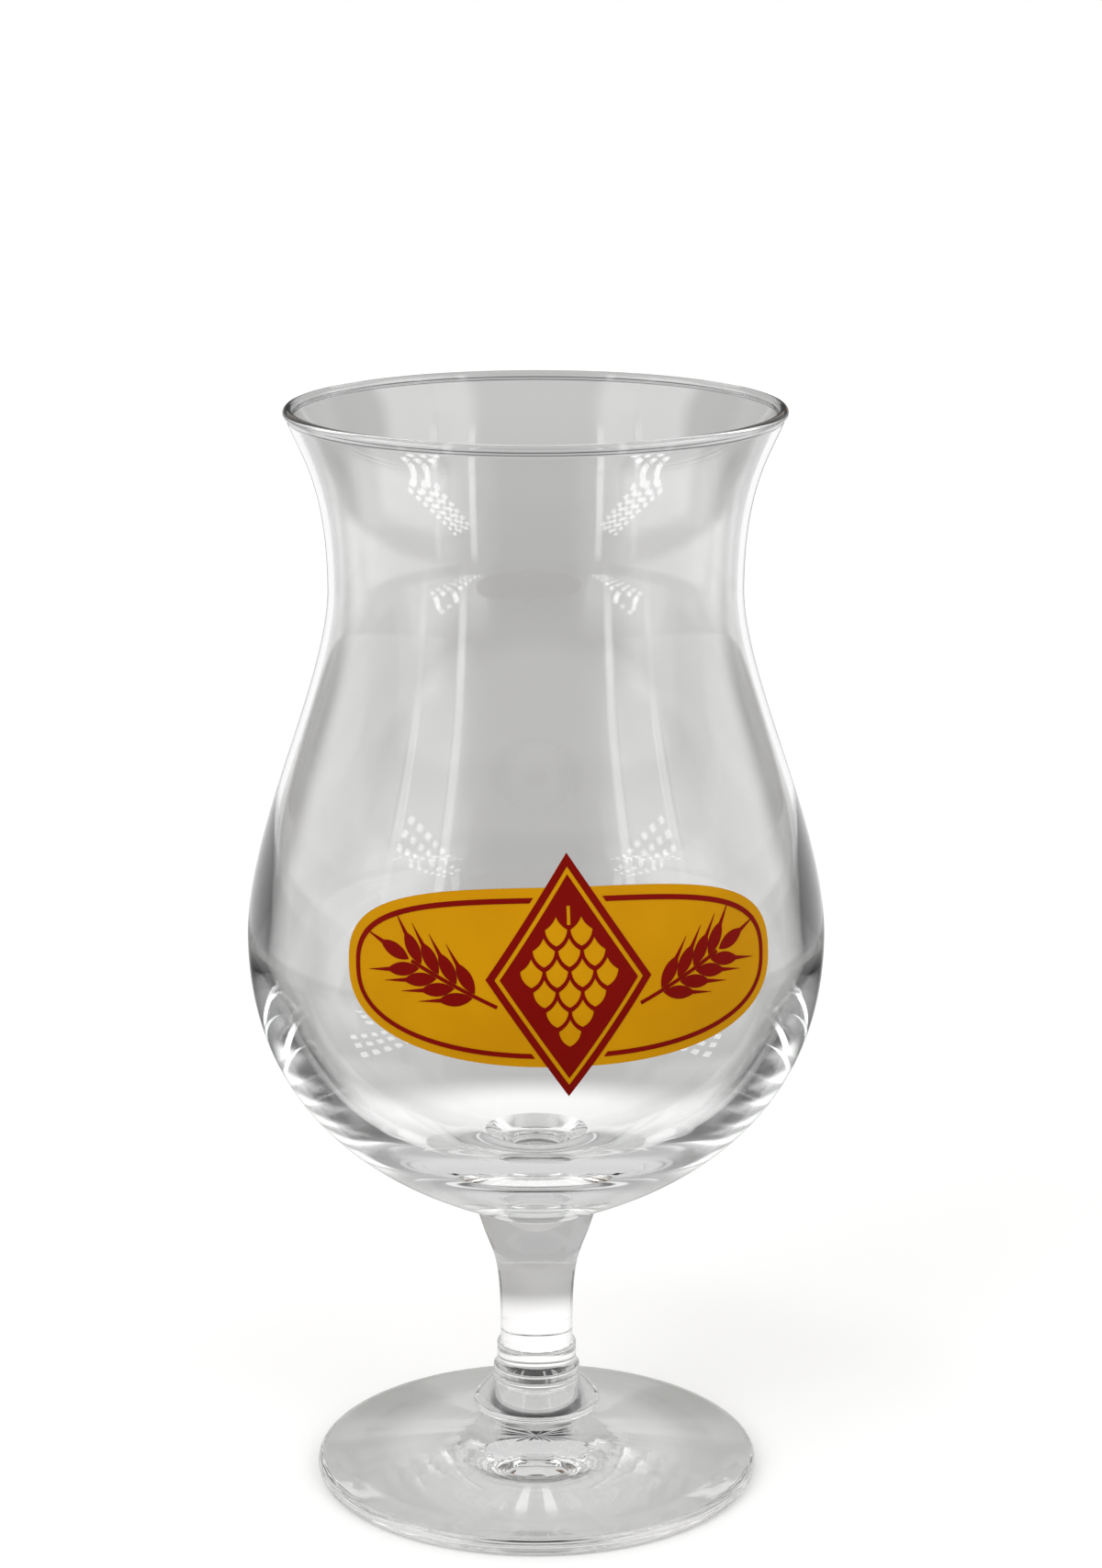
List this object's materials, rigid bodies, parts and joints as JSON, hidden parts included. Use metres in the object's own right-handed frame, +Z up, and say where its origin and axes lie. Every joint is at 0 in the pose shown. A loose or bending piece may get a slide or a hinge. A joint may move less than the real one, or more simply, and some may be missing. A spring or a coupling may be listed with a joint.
{
  "type": "tulip beer glass",
  "caption": "Stemmed tulip glass for beer: thick-based round bowl, drawn-in waist and flared lip, on a short flared stem with collar, knop and round foot, with a fired enamel print.",
  "frame": {"origin": "centre of the foot's resting plane, on the glass's axis", "axes": "+Z up along the stem to the rim; the enamel print faces -Y; +X to the right of the print"},
  "size_m": [0.086, 0.0862, 0.165],
  "materials": {
    "clear_glass": "fire-polished clear soda-lime glass",
    "yellow_enamel": "fired gloss enamel",
    "red_enamel": "fired gloss enamel"
  },
  "bodies": {
    "root": {"foot": "clear_glass", "knop": "clear_glass", "collar": "clear_glass", "stem": "clear_glass", "bowl": "clear_glass", "print_ground": "yellow_enamel", "print_keyline": "red_enamel", "print_lozenge": "red_enamel", "print_ear_left": "red_enamel", "print_ear_right": "red_enamel"}
  },
  "joints": []
}
